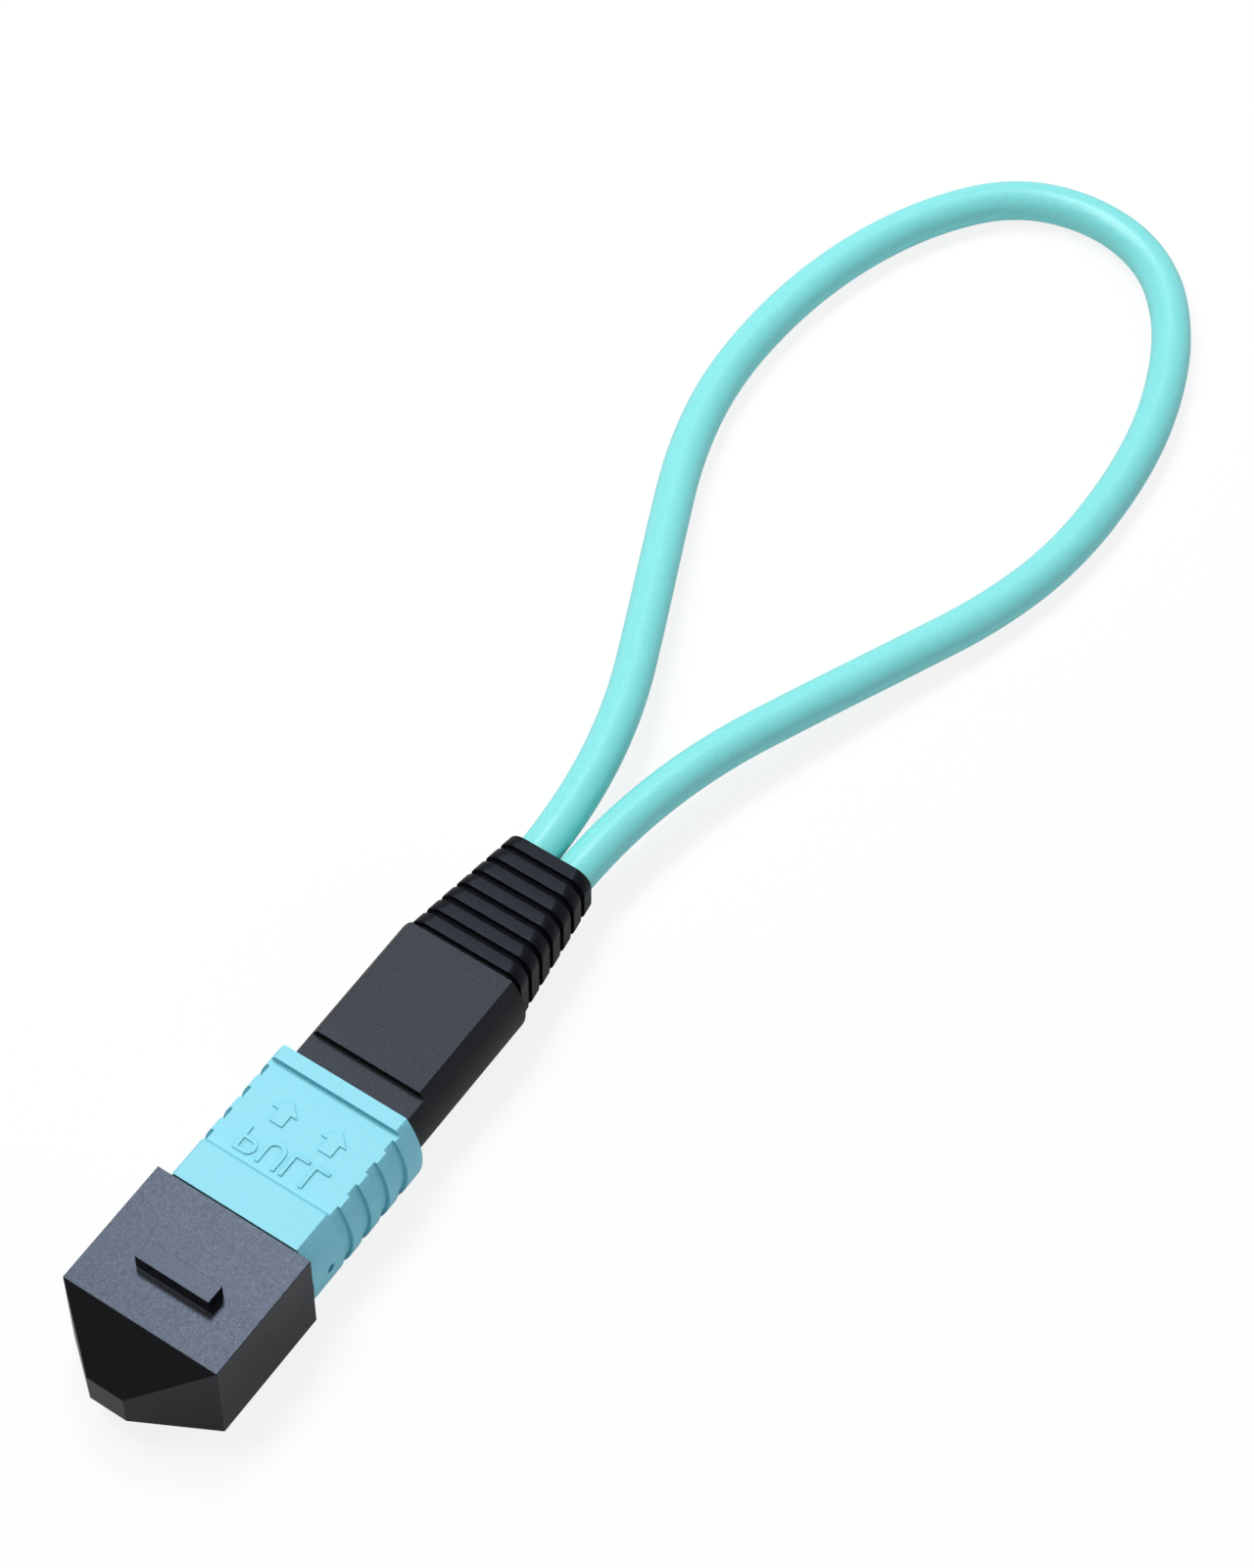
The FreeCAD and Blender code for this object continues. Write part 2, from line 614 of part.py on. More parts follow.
def make_inner_housing():
    housing = new_body("inner_housing", nose_front)
    wide_front = barrel_front - nose_front
    rear = housing_rear - nose_front
    add_prism(housing, [box(S["nose_width"], S["nose_height"])], wide_front, as_size(0))
    add_prism(housing, [bulged(S["barrel_flat"], S["barrel_width"], S["barrel_height"])],
              rear, wide_front)
    key_middle = (S["nose_height"] + S["key_height"]) / 2
    key_rear = coupler_front + S["key_end_gap"] - nose_front
    add_prism(housing, [box(S["key_width"], S["key_height"], up=key_middle)],
              key_rear, as_size(0))
    step = shoulder_front + S["stop_gap"] - nose_front
    cut_prism(housing, [box(S["ferrule_width"] + 2 * S["ferrule_fit"],
                            S["ferrule_height"] + 2 * S["ferrule_fit"])], step, as_size(0))
    cut_prism(housing, [box(S["bore_width"], S["bore_height"])], rear, step)
    cut_sides(housing, -S["latch_setback"], S["latch_length"], S["latch_height"],
              S["nose_width"], S["latch_depth"])
    track_depth = (S["barrel_width"] - S["track_floor"]) / 2
    cut_sides(housing, track_front - nose_front, S["track_length"], S["track_height"],
              S["barrel_width"], track_depth)
    window_front = track_rear - S["window_setback"] - nose_front
    cut_sides(housing, window_front, S["window_length"], S["window_height"],
              S["barrel_width"], (S["barrel_width"] - S["bore_width"]) / 2)
    return housing


def cut_sides(body, front, length, height, width, depth):
    """The same rectangular recess in the left and the right side."""
    middle = (width - depth) / 2
    cut_prism(body, [box(depth, height, across=middle), box(depth, height, across=-middle)],
              front - length, front)


# --- ferrule and what floats with it -----------------------------------------

def make_ferrule():
    ferrule = new_body("mt_ferrule", ferrule_face)
    shoulder = shoulder_front - ferrule_face
    rear = -S["ferrule_length"]
    pocket = rear + S["sleeve_insert"] + S["sleeve_fit"]
    add_prism(ferrule, [box(S["ferrule_width"], S["ferrule_height"])], rear, as_size(0))
    add_prism(ferrule, [box(S["shoulder_width"], S["shoulder_height"])], rear, shoulder)
    cut_prism(ferrule, [box(S["sleeve_width"] + 2 * S["sleeve_fit"],
                            S["sleeve_height"] + 2 * S["sleeve_fit"])], rear, pocket)
    pins = [((y, 0), S["pin_bore"] / 2) for y in spaced(2, S["pin_pitch"])]
    cut_prism(ferrule, [], rear, as_size(0), circles=pins)
    places = spaced(int(S["fibre_count"].value), S["fibre_pitch"])
    fibres = [((y, 0), S["fibre_bore"] / 2) for y in places]
    cut_prism(ferrule, [], pocket, as_size(0), circles=fibres)
    window_middle = -(S["resin_setback"] + S["resin_length"] / 2)
    cut_across(ferrule, "XY_Plane", [box(S["resin_length"], S["resin_width"],
                                         across=window_middle)],
               start=S["ferrule_height"] / 2,
               depth=S["ferrule_height"] / 2 + S["resin_floor"])
    return ferrule


def make_bare_fibres():
    """Twelve bare glass fibres, glued side by side in the ferrule."""
    fibres = []
    for index, y in enumerate(spaced(int(S["fibre_count"].value), S["fibre_pitch"])):
        fibre = doc.addObject("Part::Cylinder", f"fibre_{index + 1}")
        bind(fibre, "Radius", S["fibre_size"] / 2)
        bind(fibre, "Height", S["fibre_end"])
        fibre.Placement.Rotation = FreeCAD.Rotation(FreeCAD.Vector(0, 1, 0), -90)
        bind(fibre, "Placement.Base.y", y)
        fibres.append(fibre)
    group = doc.addObject("Part::Compound", "bare_fibres")
    group.Label = "bare_fibres"
    group.Links = fibres
    bind(group, "Placement.Base.x", ferrule_face)
    bind(group, "Placement.Base.z", axis_height)
    return group


def make_ferrule_sleeve():
    sleeve = new_body("ferrule_sleeve", ferrule_rear + S["sleeve_insert"])
    add_prism(sleeve, [box(S["sleeve_width"], S["sleeve_height"])],
              -S["sleeve_length"], as_size(0))
    width = 2 * S["ribbon_width"] + S["ribbon_gap"] + 2 * S["ribbon_fit"]
    cut_prism(sleeve, [box(width, S["ribbon_thickness"] + 2 * S["ribbon_fit"])],
              -S["sleeve_length"], as_size(0))
    return sleeve


def make_pin_keeper():
    keeper = new_body("pin_keeper", ferrule_rear)
    add_prism(keeper, [box(S["shoulder_width"], S["shoulder_height"])],
              -S["keeper_length"], as_size(0))
    cut_prism(keeper, [box(S["sleeve_width"] + 2 * S["sleeve_fit"],
                           S["sleeve_height"] + 2 * S["sleeve_fit"])],
              -S["keeper_length"], as_size(0))
    pins = [((y, 0), S["pin_bore"] / 2) for y in spaced(2, S["pin_pitch"])]
    cut_prism(keeper, [], -S["keeper_length"], as_size(0), circles=pins)
    return keeper


def make_ribbon(label, side):
    """Six fibres in a flat ribbon, from the ferrule to one end of the cable."""
    start = ferrule_face - S["fibre_end"]
    ribbon = new_body(label, start)
    near = side * (S["ribbon_width"] + S["ribbon_gap"]) / 2
    far = side * S["cable_pitch"] / 2
    half = S["ribbon_width"] / 2
    bend = spring_seat - start
    straight = block_rear - start
    end = mouth + S["cable_insert"] - start
    outline = [(as_size(0), near - half), (bend, near - half), (straight, far - half),
               (end, far - half), (end, far + half), (straight, far + half),
               (bend, near + half), (as_size(0), near + half)]
    pad = ribbon.newObject("PartDesign::Pad", f"{label}_pad")
    pad.Profile = new_sketch(ribbon, "XY_Plane", -S["ribbon_thickness"] / 2, [outline])
    bind(pad, "Length", S["ribbon_thickness"])
    return ribbon


# --- springs -----------------------------------------------------------------

def rounded_path(points):
    """Straight runs joined by tangent arcs, each as large as its two runs allow."""
    edges = []
    radii = []
    here = points[0]
    for before, corner, after in zip(points, points[1:], points[2:]):
        back, ahead = before - corner, after - corner
        tangent = 0.45 * min(back.Length, ahead.Length)
        turn = math.pi - back.getAngle(ahead)
        radii.append(tangent / math.tan(turn / 2))
        start = corner + back.normalize() * tangent
        end = corner + ahead.normalize() * tangent
        inward = (back + ahead).normalize()
        centre = corner + inward * math.hypot(tangent, radii[-1])
        edges.append(Part.LineSegment(here, start).toShape())
        edges.append(Part.Arc(start, centre - inward * radii[-1], end).toShape())
        here = end
    edges.append(Part.LineSegment(here, points[-1]).toShape())
    return Part.Wire(edges), radii


def round_tube(path, points, radius):
    section = Part.Wire([Part.makeCircle(radius, points[0], points[1] - points[0])])
    tube = path.makePipeShell([section], True, False)
    expected = math.pi * radius ** 2 * path.Length
    print(f"tube length {path.Length:.1f} mm, volume {tube.Volume:.1f} of {expected:.1f} mm3")
    if abs(tube.Volume / expected - 1) > 0.005:
        raise RuntimeError("a tube's volume is not its section times its length")
    return tube


def make_ferrule_spring():
    """An oval compression spring round the ribbons, between keeper and spring push."""
    wire = S["spring_wire"].value
    side = (S["spring_width"].value - wire) / 2
    high = (S["spring_height"].value - wire) / 2
    corners = [(side, high), (side, -high), (-side, -high), (-side, high)]
    count = 4 * int(S["spring_turns"].value)
    rise = (S["spring_length"].value - wire) / count
    points = [FreeCAD.Vector(wire / 2 + rise * index, *corners[index % 4])
              for index in range(count + 1)]
    path, _ = rounded_path(points)
    spring = doc.addObject("Part::Feature", "ferrule_spring")
    spring.Label = "ferrule_spring"
    spring.Shape = round_tube(path, points, wire / 2)
    bind(spring, "Placement.Base.x", spring_seat)
    bind(spring, "Placement.Base.z", axis_height)
    return spring


def make_coupler_spring(label, side):
    """A small round compression spring in a groove beside the housing."""
    radius = (S["coil_size"] - S["coil_wire"]) / 2
    height = tab_rear - track_rear - S["coil_wire"] - 2 * S["coil_room"]
    across = side * (S["track_floor"] / 2 + S["coil_room"] + S["coil_size"] / 2)
    rear = track_rear + S["coil_wire"] / 2 + S["coil_room"]
    path = doc.addObject("Part::Helix", f"{label}_path")
    bind(path, "Radius", radius)
    bind(path, "Height", height)
    bind(path, "Pitch", height / S["coil_turns"])
    path.Placement.Rotation = FreeCAD.Rotation(FreeCAD.Vector(0, 1, 0), 90)
    section = doc.addObject("Part::Circle", f"{label}_section")
    bind(section, "Radius", S["coil_wire"] / 2)
    section.Placement.Rotation = FreeCAD.Rotation(FreeCAD.Vector(1, 0, 0), -90)
    for item, height_offset in ((path, as_size(0)), (section, -radius)):
        bind(item, "Placement.Base.x", rear)
        bind(item, "Placement.Base.y", across)
        bind(item, "Placement.Base.z", axis_height + height_offset)
    spring = doc.addObject("Part::Sweep", label)
    spring.Label = label
    spring.Sections = [section]
    spring.Spine = (path, [])
    spring.Solid = True
    spring.Frenet = True
    return spring


# --- spring push, yarn and crimp ring ----------------------------------------

def make_spring_push():
    push = new_body("spring_push", spring_seat)
    housing_end = housing_rear - spring_seat
    block_end = block_rear - spring_seat
    neck_end = block_end - S["neck_length"]
    front_width = S["bore_width"] - 2 * S["push_fit"]
    add_prism(push, [box(front_width, S["bore_height"] - 2 * S["push_fit"])],
              housing_end, as_size(0))
    add_prism(push, [box(S["block_width"], S["block_height"])], block_end, housing_end)
    add_prism(push, [slot(S["ring_width"] - 2 * S["yarn_thickness"],
                          S["ring_height"] - 2 * S["yarn_thickness"])], neck_end, block_end)
    hook_front = track_rear - S["window_setback"] - S["snap_fit"] - spring_seat
    hook_length = S["window_length"] - 2 * S["snap_fit"]
    for side in (1, -1):
        middle = side * (front_width + S["snap_height"]) / 2
        add_prism(push, [box(S["snap_height"], S["window_height"] - 2 * S["snap_fit"],
                             across=middle)], hook_front - hook_length, hook_front)
    cut_prism(push, [box(S["push_window_width"], S["push_window_height"])],
              block_end, as_size(0))
    cut_prism(push, [slot(S["neck_bore_width"], S["neck_bore_height"])], neck_end, block_end)
    return push


def make_yarn(label, side):
    """Strength yarn of one cable end, spread over its half of the neck."""
    front = block_rear - S["yarn_setback"]
    length = S["neck_length"] - S["yarn_setback"]
    yarn = new_body(label, front)
    outer = slot(S["ring_width"], S["ring_height"])
    inner = slot(S["ring_width"] - 2 * S["yarn_thickness"],
                 S["ring_height"] - 2 * S["yarn_thickness"])
    add_prism(yarn, [outer, inner], -length, as_size(0))
    other_half = box(S["ring_width"], 2 * S["ring_height"],
                     across=-side * (S["ring_width"] / 2 - 0.02))
    cut_prism(yarn, [other_half], -length, as_size(0))
    return yarn


def make_crimp_ring():
    ring = new_body("crimp_ring", block_rear - S["ring_setback"])
    outer = slot(S["ring_width"] + 2 * S["ring_wall"], S["ring_height"] + 2 * S["ring_wall"])
    add_prism(ring, [outer, slot(S["ring_width"], S["ring_height"])],
              -S["ring_length"], as_size(0))
    return ring


# --- rear body and boot ------------------------------------------------------

def make_rear_body():
    body = new_body("rear_body", body_front)
    step = body_step - body_front
    rear = body_rear - body_front
    block_end = block_rear - body_front - S["block_fit"]
    add_prism(body, [bulged(S["body_flat"], S["body_width"], S["body_height"])],
              rear, as_size(0))
    step_depth = (S["body_height"] - S["body_step_height"]) / 2
    step_middle = (S["body_height"] + S["body_step_height"]) / 4
    cut_prism(body, [box(S["body_width"], step_depth, up=step_middle),
                     box(S["body_width"], step_depth, up=-step_middle)], step, as_size(0))
    cut_prism(body, [box(S["block_width"] + 2 * S["block_fit"],
                         S["block_height"] + 2 * S["block_fit"])], block_end, as_size(0))
    cavity = bulged(S["body_flat"] - 2 * S["body_corner_wall"],
                    S["body_width"] - 2 * S["body_wall"],
                    S["body_height"] - 2 * S["body_wall"])
    cut_prism(body, [cavity], rear + S["body_end_wall"], step - S["body_wall"])
    opening = slot(S["ring_width"] + 2 * S["ring_wall"] + 2 * S["ring_room"],
                   S["ring_height"] + 2 * S["ring_wall"] + 2 * S["ring_room"])
    cut_prism(body, [opening], step - S["body_wall"], block_end)
    end_opening = bulged(S["boot_neck_flat"] + 2 * S["boot_fit"],
                         S["boot_neck_width"] + 2 * S["boot_fit"],
                         S["boot_neck_height"] + 2 * S["boot_fit"])
    cut_prism(body, [end_opening], rear, rear + S["body_end_wall"])
    return body


def boot_outline(share, inset):
    """The boot's section at a share of its length, smaller all round by an inset."""
    width = S["boot_front_width"] + (S["boot_rear_width"] - S["boot_front_width"]) * share
    height = S["boot_front_height"] + (S["boot_rear_height"] - S["boot_front_height"]) * share
    return rounded(width - 2 * inset, height - 2 * inset, S["boot_corner"] - inset / 2)


def make_boot():
    boot = new_body("boot", body_rear)
    length = S["boot_length"]
    depth = S["boot_groove_depth"]
    flange_rear = S["body_end_wall"] + S["boot_fit"]
    flange_front = flange_rear + S["boot_flange_length"]
    add_loft(boot, [(as_size(0), boot_outline(as_size(0), depth)),
                    (-length, boot_outline(as_size(1), depth))])
    add_prism(boot, [bulged(S["boot_neck_flat"], S["boot_neck_width"],
                            S["boot_neck_height"])], as_size(0), flange_rear)
    add_prism(boot, [bulged(S["boot_flange_flat"], S["boot_flange_width"],
                            S["boot_flange_height"])], flange_rear, flange_front)
    for ring in range(int(S["boot_rings"].value)):
        start = (length / S["boot_rings"]) * ring + S["boot_groove"]
        end = (length / S["boot_rings"]) * (ring + 1)
        add_loft(boot, [(-start, boot_outline(start / length, as_size(0))),
                        (-end, boot_outline(end / length, as_size(0)))])
    ring_rear = block_rear - S["ring_setback"] - S["ring_length"] - body_rear
    ring_room = slot(S["ring_width"] + 2 * S["ring_wall"] + 2 * S["ring_room"],
                     S["ring_height"] + 2 * S["ring_wall"] + 2 * S["ring_room"])
    room_end = ring_rear - S["ring_room"]
    cut_prism(boot, [ring_room], room_end, flange_front)
    cable_slot = slot(S["cable_pitch"] + S["cable_size"] + 2 * S["cable_fit"],
                      S["cable_size"] + 2 * S["cable_fit"])
    cut_prism(boot, [cable_slot], -length, room_end)
    return boot


# --- cable loop --------------------------------------------------------------

def cable_route():
    """All points of the loop, measured from the middle of the boot's mouth."""
    across = S["cable_pitch"].value / 2
    inside = S["cable_insert"].value
    height = axis_height.value
    first = FreeCAD.Vector(inside, -across, height)
    last = FreeCAD.Vector(inside, across, height)
    return [first] + [FreeCAD.Vector(-back, y, z) for back, y, z in LOOP_ROUTE] + [last]


def make_loop_cable():
    points = cable_route()
    path, radii = rounded_path(points)
    for radius in radii:
        print(f"cable arc radius {radius:.1f} mm")
    cable = doc.addObject("Part::Feature", "loop_cable")
    cable.Label = "loop_cable"
    cable.Shape = round_tube(path, points, S["cable_size"].value / 2)
    bind(cable, "Placement.Base.x", mouth)
    return cable


# --- the whole plug ----------------------------------------------------------

pieces = [
    make_dust_cap(),
    make_coupler(),
    make_coupler_spring("coupler_spring_right", 1),
    make_coupler_spring("coupler_spring_left", -1),
    make_inner_housing(),
    make_ferrule(),
    make_bare_fibres(),
    make_ferrule_sleeve(),
    make_pin_keeper(),
    make_ribbon("fibre_ribbon_right", 1),
    make_ribbon("fibre_ribbon_left", -1),
    make_ferrule_spring(),
    make_spring_push(),
    make_yarn("strength_yarn_right", 1),
    make_yarn("strength_yarn_left", -1),
    make_crimp_ring(),
    make_rear_body(),
    make_boot(),
    make_loop_cable(),
]
doc.recompute()

for item in doc.Objects:
    if "Invalid" in item.State or "Error" in item.State:
        raise RuntimeError(f"{item.Label}: {item.State}")
for piece in pieces:
    if piece.Shape.isNull() or not piece.Shape.isValid():
        raise RuntimeError(f"{piece.Label} has no valid shape")

os.makedirs("parts", exist_ok=True)
for piece in pieces:
    piece.Shape.exportStep(f"parts/{piece.Label}.step")
    room = piece.Shape.BoundBox
    print(f"{piece.Label:22s} {len(piece.Shape.Solids):3d} solid {piece.Shape.Volume:8.2f} mm3"
          f"  x {room.XMin:7.2f} {room.XMax:7.2f}  z {room.ZMin:6.2f} {room.ZMax:6.2f}")
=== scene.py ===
import math

import bmesh
import bpy
from mathutils import Matrix, Vector


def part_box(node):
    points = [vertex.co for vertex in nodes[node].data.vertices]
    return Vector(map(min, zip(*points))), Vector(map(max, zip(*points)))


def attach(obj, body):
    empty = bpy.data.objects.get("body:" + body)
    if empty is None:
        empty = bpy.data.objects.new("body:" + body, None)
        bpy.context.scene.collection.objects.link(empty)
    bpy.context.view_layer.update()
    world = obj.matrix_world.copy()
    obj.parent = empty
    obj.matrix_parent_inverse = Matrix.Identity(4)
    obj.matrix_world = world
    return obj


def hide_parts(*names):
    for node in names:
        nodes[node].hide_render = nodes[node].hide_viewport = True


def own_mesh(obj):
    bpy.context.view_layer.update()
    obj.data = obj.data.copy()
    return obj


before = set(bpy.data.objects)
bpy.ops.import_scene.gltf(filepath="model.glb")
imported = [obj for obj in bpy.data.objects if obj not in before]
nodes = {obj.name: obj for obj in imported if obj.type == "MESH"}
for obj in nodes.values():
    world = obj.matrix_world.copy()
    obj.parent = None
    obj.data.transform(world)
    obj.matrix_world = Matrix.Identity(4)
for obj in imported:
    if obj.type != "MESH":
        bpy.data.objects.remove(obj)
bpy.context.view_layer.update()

mm = 0.001
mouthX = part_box("boot")[0].x  # where the cable leaves the boot


def addObject(name, data):
    thing = bpy.data.objects.new(name, data)
    bpy.context.scene.collection.objects.link(thing)
    return thing


cameraSettings = {
    "place": (120.2 * mm, 104.2 * mm, 269.85 * mm),
    "lookAt": (-33.96 * mm, 0.17 * mm, 3.95 * mm),
    "lens": 105.98,
    "sensorHeight": 36,
    "roll": math.radians(0.6),
    "clip": (0.01, 20),  # nearest and furthest distance, in metres
}


def makeCamera(settings):
    data = bpy.data.cameras.new("camera")
    data.lens = settings["lens"]
    data.sensor_fit = "VERTICAL"
    data.sensor_height = settings["sensorHeight"]
    data.clip_start, data.clip_end = settings["clip"]
    camera = addObject("camera", data)
    place = Vector(settings["place"])
    facing = Vector(settings["lookAt"]) - place
    turn = facing.to_track_quat("-Z", "Y").to_matrix().to_4x4()
    camera.matrix_world = (Matrix.Translation(place) @ turn
                           @ Matrix.Rotation(settings["roll"], 4, "Z"))
    bpy.context.scene.camera = camera


makeCamera(cameraSettings)
print("camera placed")

# Each point of the route: distance behind the boot's mouth, place across and height, in mm.
cableSettings = {
    "diameter": 3.0 * mm,
    "length": 189 * mm,
    "exit": (mouthX, -1.48 * mm, 3.95 * mm),
    "route": (
        (-9.6, -1.52, 3.95), (-1.3, -1.45, 3.95), (7.1, -2.0, 3.83), (15.0, -4.0, 3.42),
        (22.4, -7.3, 2.83), (30.0, -10.8, 2.2), (37.6, -14.2, 1.68), (45.1, -16.1, 1.5),
        (53.4, -16.2, 1.5), (61.4, -14.8, 1.5), (68.6, -11.8, 1.5), (74.0, -7.4, 1.5),
        (75.8, -1.1, 1.5), (74.2, 5.0, 1.5), (69.2, 9.6, 1.5), (62.0, 12.7, 1.5),
        (54.6, 14.1, 1.5), (45.9, 14.2, 1.5), (38.1, 12.5, 1.68), (30.3, 9.4, 2.2),
        (22.7, 6.4, 2.81), (15.0, 3.5, 3.42), (7.0, 1.85, 3.85), (-1.2, 1.45, 3.95),
        (-9.6, 1.52, 3.95),
    ),
    "roundness": 10,  # how finely the jacket's section is divided
    "smoothness": 16,  # how finely its length is divided
}


def makeCable(settings):
    curve = bpy.data.curves.new("cable", "CURVE")
    curve.dimensions = "3D"
    curve.resolution_u = settings["smoothness"]
    curve.bevel_depth = 1.0  # each point's own radius gives the thickness
    curve.bevel_resolution = settings["roundness"]
    curve.use_fill_caps = True
    spline = curve.splines.new("NURBS")
    spline.points.add(len(settings["route"]) - 1)
    for point, (back, across, high) in zip(spline.points, settings["route"]):
        point.co = (mouthX - back * mm, across * mm, high * mm, 1)
        point.radius = settings["diameter"] / 2
    spline.order_u = 3
    spline.use_endpoint_u = True
    cable = addObject("cable", curve)
    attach(cable, "housing")
    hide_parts("loop_cable")
    return cable


cable = makeCable(cableSettings)
print("cable made")


# Gives a socket a plain value, or links another node's output to it.
def feed(tree, socket, value):
    if isinstance(value, bpy.types.NodeSocket):
        tree.links.new(value, socket)
    elif socket.type == "RGBA":
        socket.default_value = (*value, 1)  # colours are given without their alpha
    else:
        socket.default_value = value


# A named value goes to the node's input of that name, or else it is one of its settings.
def addNode(tree, kind, **values):
    node = tree.nodes.new(kind)
    for name, value in values.items():
        if name in node.inputs:
            feed(tree, node.inputs[name], value)
        else:
            setattr(node, name, value)
    return node


def reckon(tree, operation, *terms, **settings):
    node = addNode(tree, "ShaderNodeMath", operation=operation, **settings)
    for socket, term in zip(node.inputs, terms):
        feed(tree, socket, term)
    return node.outputs["Value"]


def dotProduct(tree, first, second):
    node = addNode(tree, "ShaderNodeVectorMath", operation="DOT_PRODUCT")
    feed(tree, node.inputs[0], first)
    feed(tree, node.inputs[1], second)
    return node.outputs["Value"]


# Moves a value from the given range to the wanted one, and holds it at the ends.
def remap(tree, value, given=(0, 1), wanted=(0, 1)):
    node = addNode(tree, "ShaderNodeMapRange", Value=value, **{
        "From Min": given[0], "From Max": given[1], "To Min": wanted[0], "To Max": wanted[1]})
    return node.outputs["Result"]


def mixColours(tree, share, first, second):
    node = addNode(tree, "ShaderNodeMix", data_type="RGBA", Factor=share)
    feed(tree, node.inputs[6], first)  # this node's colour sockets are found by number
    feed(tree, node.inputs[7], second)
    return node.outputs[2]


def mixShaders(tree, share, first, second):
    node = addNode(tree, "ShaderNodeMixShader", Fac=share)
    feed(tree, node.inputs[1], first)
    feed(tree, node.inputs[2], second)
    return node.outputs["Shader"]


def addNoise(tree, place, scale, detail, **values):
    node = addNode(tree, "ShaderNodeTexNoise", Vector=place, Scale=scale, Detail=detail, **values)
    return node.outputs["Fac"]


def objectPlace(tree):
    return addNode(tree, "ShaderNodeTexCoord").outputs["Object"]


def shade(colour, share):
    return tuple(min(1, part * share) for part in colour)


def newMaterial(name):
    material = bpy.data.materials.new(name)
    material.use_nodes = True
    tree = material.node_tree
    return material, tree, tree.nodes["Principled BSDF"]


# The inputs are all plain numbers, given with the value that they start at.
def newGroup(name, inputs, outputs):
    group = bpy.data.node_groups.new(name, "ShaderNodeTree")
    for title, value in inputs.items():
        socket = group.interface.new_socket(title, in_out="INPUT", socket_type="NodeSocketFloat")
        socket.default_value = value
    for title, kind in outputs.items():
        group.interface.new_socket(title, in_out="OUTPUT", socket_type=kind)
    given = group.nodes.new("NodeGroupInput").outputs
    result = group.nodes.new("NodeGroupOutput").inputs
    return group, given, result


grainSettings = {
    "fineDetail": 3.0, "fineRoughness": 0.6, "fineHeight": 0.03 * mm,
    "waveScale": 260.0, "waveDetail": 2.0, "waveHeight": 0.4 * mm,
    "speckleRange": (0.32, 0.68),  # part of the fine noise that goes from dark to light
}


# Spark-eroded mould grain: a fine bump with slow waves under it.
def makeGrainGroup(settings):
    group, given, result = newGroup(
        "mouldGrain", {"Grain": 9000.0, "Depth": 0.3, "Wave": 0.15},
        {"Normal": "NodeSocketVector", "Speckle": "NodeSocketFloat"})
    place = objectPlace(group)
    fine = addNoise(group, place, given["Grain"], settings["fineDetail"],
                    Roughness=settings["fineRoughness"])
    slow = addNoise(group, place, settings["waveScale"], settings["waveDetail"])
    waves = addNode(group, "ShaderNodeBump", Height=slow, Strength=given["Wave"],
                    Distance=settings["waveHeight"])
    bump = addNode(group, "ShaderNodeBump", Height=fine, Strength=given["Depth"],
                   Distance=settings["fineHeight"], Normal=waves.outputs["Normal"])
    feed(group, result["Normal"], bump.outputs["Normal"])
    feed(group, result["Speckle"], remap(group, fine, given=settings["speckleRange"]))
    return group


edgeSettings = {
    "samples": 4,
    "turnRange": (1.0, 0.72),  # how well both normals agree, from a plain face to a full edge
    "patchScale": 900.0, "patchDetail": 3.0,
}


# A mask that is bright along convex edges, where handling polishes a moulding.
def makeEdgeGroup(settings):
    group, given, result = newGroup(
        "edgeWear", {"Width": 0.12 * mm}, {"Edge": "NodeSocketFloat"})
    soft = addNode(group, "ShaderNodeBevel", samples=settings["samples"], Radius=given["Width"])
    sharp = addNode(group, "ShaderNodeNewGeometry")
    turned = remap(group, dotProduct(group, soft.outputs["Normal"], sharp.outputs["Normal"]),
                   given=settings["turnRange"])
    patches = addNoise(group, objectPlace(group), settings["patchScale"], settings["patchDetail"])
    feed(group, result["Edge"], reckon(group, "MULTIPLY", turned, patches))
    return group


creaseSettings = {
    "samples": 8,
    "openRange": (0.98, 0.45),  # how open the place is, from a plain face to a deep groove
}


# A mask from ambient occlusion, bright in grooves and inside corners. The plastics paint shade
# there with it, the cap paints light there, and all of them make it rougher there.
def makeCreaseGroup(settings):
    group, given, result = newGroup(
        "paintedCreaseShadeAndLight", {"Reach": 0.3 * mm}, {"Crease": "NodeSocketFloat"})
    openness = addNode(group, "ShaderNodeAmbientOcclusion", samples=settings["samples"],
                       only_local=True, Distance=given["Reach"])
    feed(group, result["Crease"],
         remap(group, openness.outputs["AO"], given=settings["openRange"]))
    return group


# Marks drawn out along the plug, as metal has from drawing and yarn from its strands.
def makeStreakGroup():
    group, given, result = newGroup(
        "drawnStreaks",
        {"Streaks": 6000.0, "Stretch": 0.08, "Detail": 4.0, "Height": 0.01 * mm, "Depth": 0.3},
        {"Streak": "NodeSocketFloat", "Normal": "NodeSocketVector"})
    scale = addNode(group, "ShaderNodeCombineXYZ", X=given["Stretch"], Y=1.0, Z=1.0)
    stretched = addNode(group, "ShaderNodeMapping", Vector=objectPlace(group),
                        Scale=scale.outputs["Vector"])
    streak = addNoise(group, stretched.outputs["Vector"], given["Streaks"], given["Detail"])
    bump = addNode(group, "ShaderNodeBump", Height=streak, Strength=given["Depth"],
                   Distance=given["Height"])
    feed(group, result["Streak"], streak)
    feed(group, result["Normal"], bump.outputs["Normal"])
    return group


grainGroup = makeGrainGroup(grainSettings)
edgeGroup = makeEdgeGroup(edgeSettings)
creaseGroup = makeCreaseGroup(creaseSettings)
streakGroup = makeStreakGroup()
print("node groups made")

